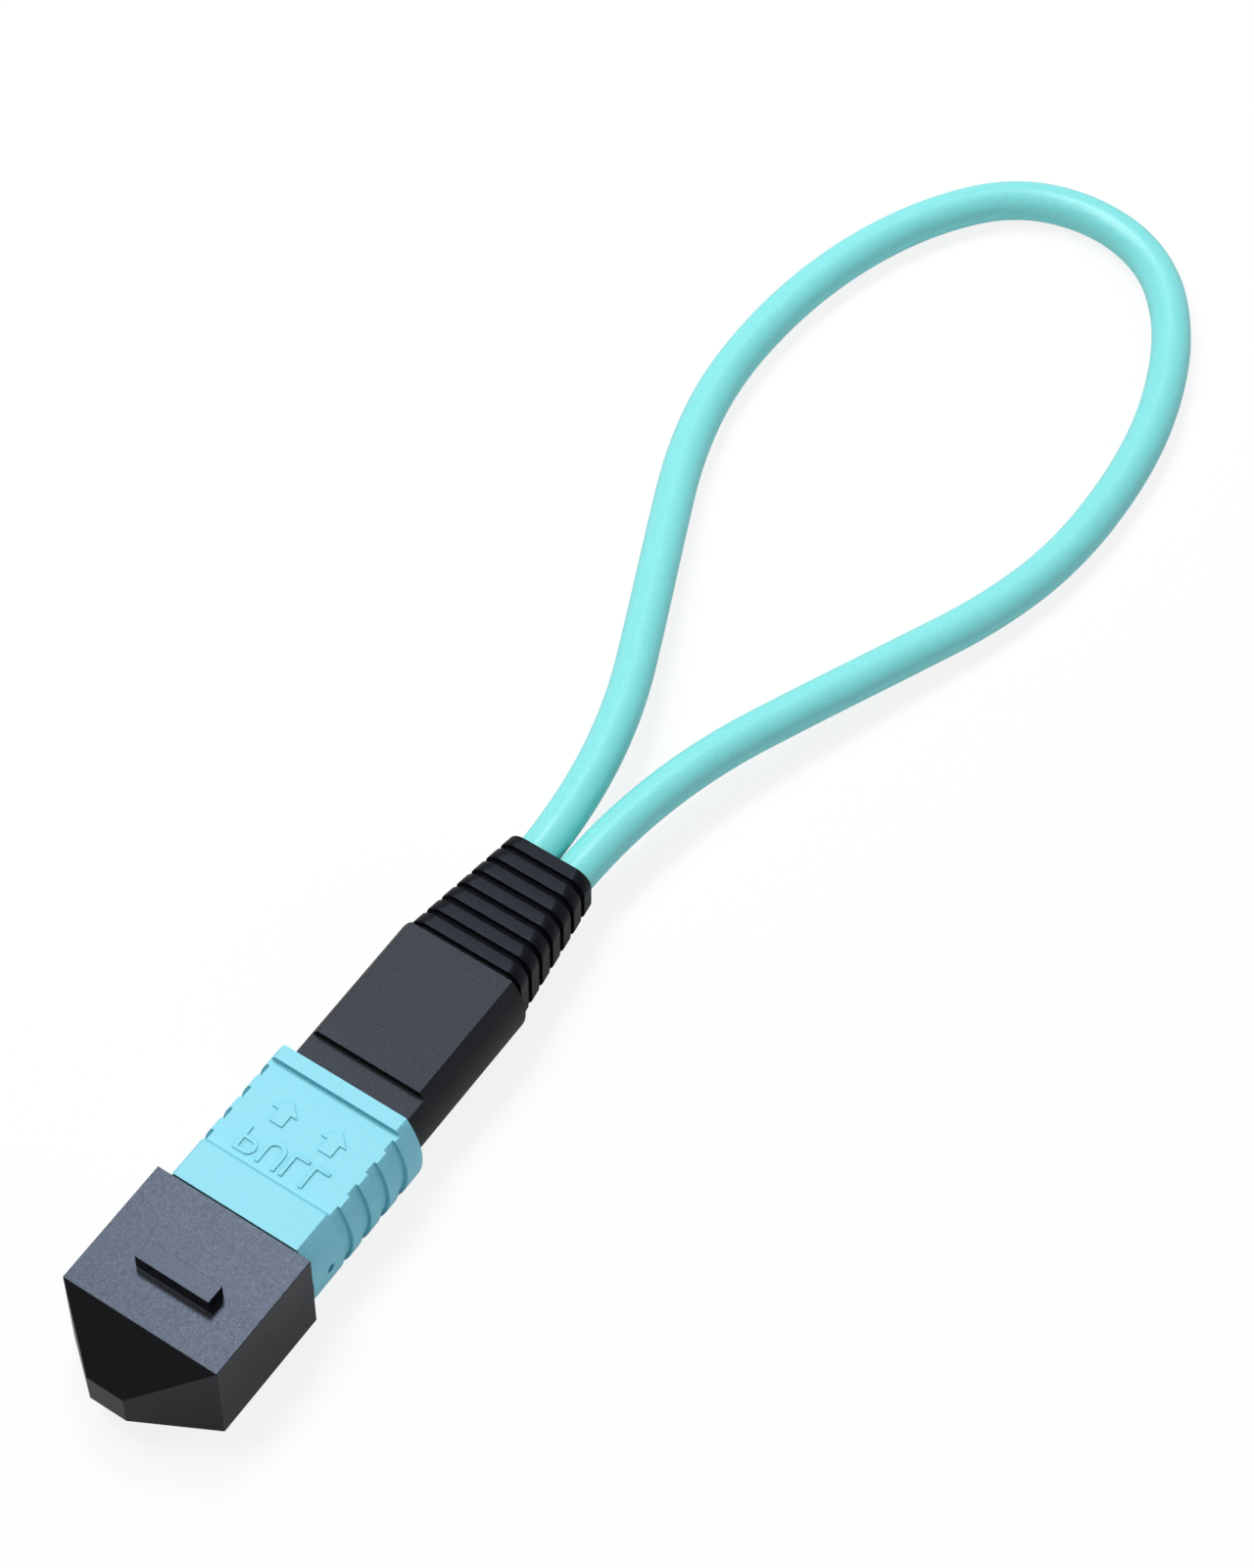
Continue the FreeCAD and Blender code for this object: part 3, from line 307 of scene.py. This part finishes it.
# What a plastic has where its own look doesn't say otherwise.
commonPlastic = {
    "specular": 0.5, "tint": (1, 1, 1), "coat": 0.0, "coatRoughness": 0.2, "wave": 0.1,
    "spread": 0.06, "roughSpread": 0.05, "edgeWidth": 0.1 * mm, "polish": 0.15,
    # crease, creaseShade and creaseReach set the painted shade in grooves and inside corners.
    "crease": 0.6, "creaseShade": 0.5, "creaseReach": 0.4 * mm, "creaseDull": 0.5,
}
plasticLooks = {
    "capPlastic": {
        "colour": (0.0088, 0.0086, 0.0084), "roughness": 0.28, "grain": 7000.0, "depth": 0.1,
        "wornColour": (0.02, 0.02, 0.022), "wear": 0.15, "specular": 0.29, "wave": 0.02,
        "tint": (0.66, 0.77, 1.0), "spread": 0.12,
        # creaseShade above 1 paints light into the creases, lifting the shadowed band in front of
        # the rib.
        "crease": 0.8, "creaseShade": 3.5, "creaseReach": 0.35 * mm, "creaseDull": 0.0,
    },
    "couplerPlastic": {
        "colour": (0.235, 0.67, 0.78), "roughness": 0.45, "grain": 6500.0, "depth": 0.8,
        "wornColour": (0.38, 0.82, 0.92), "wear": 0.2, "specular": 0.4, "spread": 0.05,
        "crease": 0.3, "creaseShade": 0.45, "creaseReach": 0.3 * mm, "wave": 0.03,
    },
    "housingPlastic": {
        "colour": (0.18, 0.58, 0.68), "roughness": 0.45, "grain": 9000.0, "depth": 0.2,
        "wornColour": (0.33, 0.75, 0.84), "wear": 0.25,
    },
    "bodyPlastic": {
        "colour": (0.0145, 0.0138, 0.0132), "roughness": 0.42, "grain": 9000.0, "depth": 0.2,
        "wornColour": (0.02, 0.02, 0.022), "wear": 0.2, "specular": 0.222, "wave": 0.02,
        "tint": (0.70, 0.79, 1.0), "spread": 0.2, "creaseReach": 0.2 * mm,
    },
    "bootPlastic": {
        "colour": (0.0032, 0.0032, 0.0036), "roughness": 0.42, "grain": 8000.0, "depth": 0.1,
        "wornColour": (0.012, 0.012, 0.014), "wear": 0.15, "specular": 0.215, "wave": 0.05,
        "tint": (0.70, 0.79, 1.0), "spread": 0.2,
        # painted shade: the grooves' colour goes nearly black, and their roughness is raised
        # there too.
        "crease": 0.9, "creaseShade": 0.1, "creaseReach": 0.5 * mm, "creaseDull": 0.95,
    },
    "cableJacket": {
        "colour": (0.245, 0.77, 0.745), "roughness": 0.36, "grain": 7000.0, "depth": 0.1,
        "wornColour": (0.3, 0.85, 0.82), "wear": 0.0, "specular": 0.4, "wave": 0.25,
    },
    "ferruleResin": {
        "colour": (0.035, 0.05, 0.042), "roughness": 0.25, "grain": 16000.0, "depth": 0.1,
        "wornColour": (0.1, 0.12, 0.11), "wear": 0.2,
    },
    "keeperPlastic": {
        "colour": (0.72, 0.70, 0.64), "roughness": 0.4, "grain": 12000.0, "depth": 0.15,
        "wornColour": (0.8, 0.78, 0.74), "wear": 0.2,
    },
    "sleeveRubber": {
        "colour": (0.02, 0.02, 0.022), "roughness": 0.75, "grain": 15000.0, "depth": 0.4,
        "wornColour": (0.05, 0.05, 0.05), "wear": 0.2,
    },
    "ribbonCoat": {
        "colour": (0.45, 0.68, 0.82), "roughness": 0.2, "grain": 5000.0, "depth": 0.05,
        "wornColour": (0.6, 0.8, 0.9), "wear": 0.1, "coat": 0.4,
    },
}


# A moulded plastic: grain over it all, polish along its edges, painted shade and more roughness
# in its grooves (painted light on the cap).
def makePlastic(name, ownLook):
    look = {**commonPlastic, **ownLook}
    material, tree, shader = newMaterial(name)
    feed(tree, shader.inputs["Specular IOR Level"], look["specular"])
    feed(tree, shader.inputs["Specular Tint"], look["tint"])
    feed(tree, shader.inputs["Coat Weight"], look["coat"])
    feed(tree, shader.inputs["Coat Roughness"], look["coatRoughness"])
    grain = addNode(tree, "ShaderNodeGroup", node_tree=grainGroup, Grain=look["grain"],
                    Depth=look["depth"], Wave=look["wave"])
    edges = addNode(tree, "ShaderNodeGroup", node_tree=edgeGroup, Width=look["edgeWidth"])
    creases = addNode(tree, "ShaderNodeGroup", node_tree=creaseGroup, Reach=look["creaseReach"])
    speckle = grain.outputs["Speckle"]
    edge = edges.outputs["Edge"]
    crease = creases.outputs["Crease"]

    base = look["colour"]
    colour = mixColours(tree, speckle, shade(base, 1 - look["spread"]),
                        shade(base, 1 + look["spread"]))
    colour = mixColours(tree, reckon(tree, "MULTIPLY", edge, look["wear"]),
                        colour, look["wornColour"])
    # Painted shade in grooves and inside corners: the colour goes towards creaseShade times the
    # base, and a creaseShade above 1 paints light there instead.
    colour = mixColours(tree, reckon(tree, "MULTIPLY", crease, look["crease"]),
                        colour, shade(base, look["creaseShade"]))
    feed(tree, shader.inputs["Base Color"], colour)

    rough = remap(tree, speckle, wanted=(look["roughness"] - look["roughSpread"],
                                         look["roughness"] + look["roughSpread"]))
    polish = reckon(tree, "MULTIPLY", edge, look["polish"])
    rough = reckon(tree, "SUBTRACT", rough, polish, use_clamp=True)
    rough = reckon(tree, "MULTIPLY_ADD", crease, look["creaseDull"], rough, use_clamp=True)
    feed(tree, shader.inputs["Roughness"], rough)
    feed(tree, shader.inputs["Normal"], grain.outputs["Normal"])
    return material


plastics = {name: makePlastic(name, look) for name, look in plasticLooks.items()}
print("plastics made")

# Each roughness goes from the dark streaks to the pale ones.
streakedLooks = {
    "springSteel": {
        "dark": shade((0.55, 0.54, 0.52), 0.85), "pale": (0.55, 0.54, 0.52),
        "roughness": (0.18, 0.40), "metallic": 1.0, "sheen": 0.0,
        "streaks": 6000.0, "stretch": 0.08, "detail": 4.0, "height": 0.01 * mm, "depth": 0.3,
    },
    "crimpMetal": {
        "dark": shade((0.70, 0.69, 0.66), 0.85), "pale": (0.70, 0.69, 0.66),
        "roughness": (0.24, 0.46), "metallic": 1.0, "sheen": 0.0,
        "streaks": 4000.0, "stretch": 0.08, "detail": 4.0, "height": 0.01 * mm, "depth": 0.3,
    },
    "aramidYarn": {
        "dark": (0.50, 0.36, 0.08), "pale": (0.82, 0.66, 0.22),
        "roughness": (0.55, 0.80), "metallic": 0.0, "sheen": 0.4,
        "streaks": 5200.0, "stretch": 0.06, "detail": 3.0, "height": 0.08 * mm, "depth": 0.7,
    },
}


# Drawn metal or spun yarn, whose tone, roughness and bump follow its streaks.
def makeStreaked(name, look):
    material, tree, shader = newMaterial(name)
    feed(tree, shader.inputs["Metallic"], look["metallic"])
    feed(tree, shader.inputs["Sheen Weight"], look["sheen"])
    marks = addNode(tree, "ShaderNodeGroup", node_tree=streakGroup, Streaks=look["streaks"],
                    Stretch=look["stretch"], Detail=look["detail"], Height=look["height"],
                    Depth=look["depth"])
    streak = marks.outputs["Streak"]
    feed(tree, shader.inputs["Base Color"], mixColours(tree, streak, look["dark"], look["pale"]))
    feed(tree, shader.inputs["Roughness"], remap(tree, streak, wanted=look["roughness"]))
    feed(tree, shader.inputs["Normal"], marks.outputs["Normal"])
    return material


streaked = {name: makeStreaked(name, look) for name, look in streakedLooks.items()}

# The roughness goes from the clear places to the misty ones.
glassLook = {
    "clear": shade((0.80, 0.90, 0.95), 0.92), "misty": (0.80, 0.90, 0.95),
    "roughness": (0.08, 0.16), "transmission": 0.6, "ior": 1.46,
    "mistScale": 3000.0, "mistDetail": 2.0,
}


def makeGlass(look):
    material, tree, shader = newMaterial("fibreGlass")
    feed(tree, shader.inputs["Transmission Weight"], look["transmission"])
    feed(tree, shader.inputs["IOR"], look["ior"])
    mist = addNoise(tree, objectPlace(tree), look["mistScale"], look["mistDetail"])
    feed(tree, shader.inputs["Base Color"], mixColours(tree, mist, look["clear"], look["misty"]))
    feed(tree, shader.inputs["Roughness"], remap(tree, mist, wanted=look["roughness"]))
    return material


glass = makeGlass(glassLook)
print("metals, yarn and glass made")

meshGap = 1e-7  # points closer than this, in metres, are one point

# A moulding's edges are sharp in the CAD model, and here each gets a small radius, named edge.
mouldingSettings = {
    "dust_cap": {"name": "capShell", "body": "cap", "slot": "cap_black", "edge": 0.04 * mm},
    "coupler": {
        "name": "couplerSleeve", "body": "coupler", "slot": "coupler_aqua", "edge": 0.04 * mm,
        "line": {"behindFront": 3.25 * mm, "halfWidth": 0.1 * mm, "depth": 0.06 * mm},
    },
    "rear_body": {"name": "rearShell", "body": "housing", "slot": "body_black",
                  "edge": 0.04 * mm},
    "boot": {"name": "bootSleeve", "body": "housing", "slot": "boot_black", "edge": 0.05 * mm},
}
roundingSettings = {
    "steps": 2,
    "leastTurn": math.radians(24),  # an edge that turns by less stays as it is
    "flatTurn": math.radians(1),  # faces that turn by less are joined into one first
}


# A copy of a CAD mesh, and the same shape open for changes with its double points joined.
def openCopy(node, name):
    mesh = nodes[node].data.copy()
    mesh.name = name
    shape = bmesh.new()
    shape.from_mesh(mesh)
    bmesh.ops.remove_doubles(shape, verts=shape.verts, dist=meshGap)
    return mesh, shape


def closeCopy(name, mesh, shape):
    shape.to_mesh(mesh)
    shape.free()
    return addObject(name, mesh)


# A fine V scored straight across the top face.
def scoreTop(shape, place, halfWidth, depth):
    for along in (place - halfWidth, place, place + halfWidth):
        bmesh.ops.bisect_plane(shape, geom=shape.verts[:] + shape.edges[:] + shape.faces[:],
                               dist=meshGap / 10, plane_co=(along, 0, 0), plane_no=(1, 0, 0))
    top = max(vertex.co.z for vertex in shape.verts)
    for vertex in shape.verts:
        if abs(vertex.co.x - place) < meshGap and vertex.co.z > top - 10 * meshGap:
            vertex.co.z -= depth


def makeMoulding(node, settings):
    mesh, shape = openCopy(node, settings["name"])
    bmesh.ops.dissolve_limit(shape, angle_limit=roundingSettings["flatTurn"], verts=shape.verts,
                             edges=shape.edges, delimit=set())
    if "line" in settings:
        line = settings["line"]
        scoreTop(shape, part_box(node)[1].x - line["behindFront"], line["halfWidth"],
                 line["depth"])
    piece = closeCopy(settings["name"], mesh, shape)
    for face in mesh.polygons:
        face.use_smooth = True
    rounding = piece.modifiers.new("edges", "BEVEL")
    rounding.width = settings["edge"]
    rounding.segments = roundingSettings["steps"]
    rounding.limit_method = "ANGLE"
    rounding.angle_limit = roundingSettings["leastTurn"]
    rounding.use_clamp_overlap = True
    rounding.miter_outer = "MITER_ARC"
    shading = piece.modifiers.new("shading", "WEIGHTED_NORMAL")
    shading.weight = 100  # large faces look flat right up to their rounded edges
    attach(piece, settings["body"])
    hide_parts(node)
    return piece


mouldings = {node: makeMoulding(node, settings) for node, settings in mouldingSettings.items()}
print("moulded pieces made")

springSettings = {
    "ferrule_spring": {"name": "ferruleSpringCoil", "joint": "ferrule_slide"},
    "coupler_spring_left": {"name": "couplerSpringCoilLeft", "joint": "coupler_slide"},
    "coupler_spring_right": {"name": "couplerSpringCoilRight", "joint": "coupler_slide"},
}


# Each spring is a rigid copy of its CAD mesh, held on the housing, with a mesh of its own.
def makeSpring(node, settings):
    spring = closeCopy(settings["name"], *openCopy(node, settings["name"]))
    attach(spring, "housing")
    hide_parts(node)
    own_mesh(spring)
    return spring


springs = {node: makeSpring(node, settings) for node, settings in springSettings.items()}
print("springs made")


def paint(piece, material):
    if not piece.data.materials:
        piece.data.materials.append(material)
    for place in piece.material_slots:
        place.material = material


innerFinishes = {
    "inner_housing": plastics["housingPlastic"],
    "spring_push": plastics["bodyPlastic"],
    "mt_ferrule": plastics["ferruleResin"],
    "bare_fibres": glass,
    "ferrule_sleeve": plastics["sleeveRubber"],
    "pin_keeper": plastics["keeperPlastic"],
    "fibre_ribbon_left": plastics["ribbonCoat"],
    "fibre_ribbon_right": plastics["ribbonCoat"],
    "crimp_ring": streaked["crimpMetal"],
    "strength_yarn_left": streaked["aramidYarn"],
    "strength_yarn_right": streaked["aramidYarn"],
}
mouldingFinishes = {
    "dust_cap": plastics["capPlastic"],
    "coupler": plastics["couplerPlastic"],
    "rear_body": plastics["bodyPlastic"],
    "boot": plastics["bootPlastic"],
}
for node, material in innerFinishes.items():
    paint(nodes[node], material)
for node, material in mouldingFinishes.items():
    paint(mouldings[node], material)
for spring in springs.values():
    paint(spring, streaked["springSteel"])
paint(cable, plastics["cableJacket"])
print("materials given out")

white = (1, 1, 1)
floorSettings = {
    "size": 3.0, "drop": 0.02 * mm, "colour": (0.92, 0.92, 0.92), "roughness": 0.9,
    "specular": 0.1,
    "whiteShare": 0.86,  # plain white to the eye, and the rest takes the shadow
    "glossShare": 0.75, "glossLevel": 0.34,  # mirrored in the plug it is a mid grey
}


# 1 for rays that come straight from the camera or through glass, and 0 for all others.
def seenDirectly(tree, ray):
    return reckon(tree, "MAXIMUM", ray["Is Camera Ray"], ray["Is Transmission Ray"])


def makeFloor(settings):
    half, low = settings["size"] / 2, -settings["drop"]
    corners = [(-half, -half, low), (half, -half, low), (half, half, low), (-half, half, low)]
    mesh = bpy.data.meshes.new("floor")
    mesh.from_pydata(corners, [], [(0, 1, 2, 3)])
    floor = addObject("floor", mesh)
    material, tree, shader = newMaterial("floor")
    feed(tree, shader.inputs["Base Color"], settings["colour"])
    feed(tree, shader.inputs["Roughness"], settings["roughness"])
    feed(tree, shader.inputs["Specular IOR Level"], settings["specular"])
    ray = addNode(tree, "ShaderNodeLightPath").outputs
    mirrored = ray["Is Glossy Ray"]
    share = reckon(tree, "MAXIMUM",
                   reckon(tree, "MULTIPLY", seenDirectly(tree, ray), settings["whiteShare"]),
                   reckon(tree, "MULTIPLY", mirrored, settings["glossShare"]))
    level = reckon(tree, "MULTIPLY_ADD", mirrored, settings["glossLevel"] - 1, 1.0)
    glow = addNode(tree, "ShaderNodeEmission", Color=white, Strength=level)
    surface = mixShaders(tree, share, shader.outputs["BSDF"], glow.outputs["Emission"])
    feed(tree, tree.nodes["Material Output"].inputs["Surface"], surface)
    mesh.materials.append(material)


makeFloor(floorSettings)
print("floor made")

worldSettings = {
    "fill": 0.37, "fillColour": (0.91, 0.97, 1.07),
    "dimSide": (0.80, -0.33, 0.50), "dimShare": 0.3, "dimFrom": 0.0, "dimTo": 0.9,
    "mirrorTop": 0.15,  # a mirror shows white at the horizon, fading out at this height
}


# Soft fill from all round, weaker from the dim side, with white behind it all.
def makeWorld(settings):
    world = bpy.data.worlds.new("studio")
    bpy.context.scene.world = world
    world.use_nodes = True
    tree = world.node_tree
    tree.nodes.clear()
    out = addNode(tree, "ShaderNodeOutputWorld")
    place = addNode(tree, "ShaderNodeTexCoord").outputs["Generated"]
    strength = remap(tree, dotProduct(tree, place, settings["dimSide"]),
                     given=(settings["dimFrom"], settings["dimTo"]),
                     wanted=(settings["fill"], settings["fill"] * settings["dimShare"]))
    fill = addNode(tree, "ShaderNodeBackground", Color=settings["fillColour"],
                   Strength=strength)
    backdrop = addNode(tree, "ShaderNodeBackground", Color=white, Strength=1.0)

    # Seen directly, through glass, or mirrored close to the horizon, the studio is white.
    ray = addNode(tree, "ShaderNodeLightPath").outputs
    height = addNode(tree, "ShaderNodeSeparateXYZ", Vector=place).outputs["Z"]
    low = remap(tree, height, given=(settings["mirrorTop"], 0))
    mirrored = reckon(tree, "MULTIPLY", low, ray["Is Glossy Ray"])
    seen = reckon(tree, "MAXIMUM", seenDirectly(tree, ray), mirrored)
    feed(tree, out.inputs["Surface"],
         mixShaders(tree, seen, fill.outputs["Background"], backdrop.outputs["Background"]))


makeWorld(worldSettings)
print("world made")

# Each lamp shines at the aim from the distance and the direction, in degrees, that it names.
lampAim = (-38 * mm, 0, 0)  # the middle of the plug with its loop
lampSettings = {
    "topLeft": {"azimuth": 288, "elevation": 66, "distance": 0.7, "size": 0.24, "power": 2.45,
                "colour": (1.0, 0.99, 0.98)},
    "topBack": {"azimuth": 226, "elevation": 64, "distance": 0.6, "size": 0.16, "power": 1.65,
                "colour": (0.92, 0.96, 1.0)},
}


def makeLamp(name, settings):
    data = bpy.data.lights.new(name, "AREA")
    data.shape = "SQUARE"
    data.size = settings["size"]
    data.energy = settings["power"]
    data.color = settings["colour"]
    lamp = addObject(name, data)
    around, up = math.radians(settings["azimuth"]), math.radians(settings["elevation"])
    towards = Vector((math.cos(around) * math.cos(up), math.sin(around) * math.cos(up),
                      math.sin(up)))
    lamp.location = Vector(lampAim) + towards * settings["distance"]
    lamp.rotation_euler = (-towards).to_track_quat("-Z", "Y").to_euler()


for name, settings in lampSettings.items():
    makeLamp(name, settings)
print("lamps made")

bpy.context.scene.view_settings.view_transform = "Standard"


bpy.context.view_layer.update()
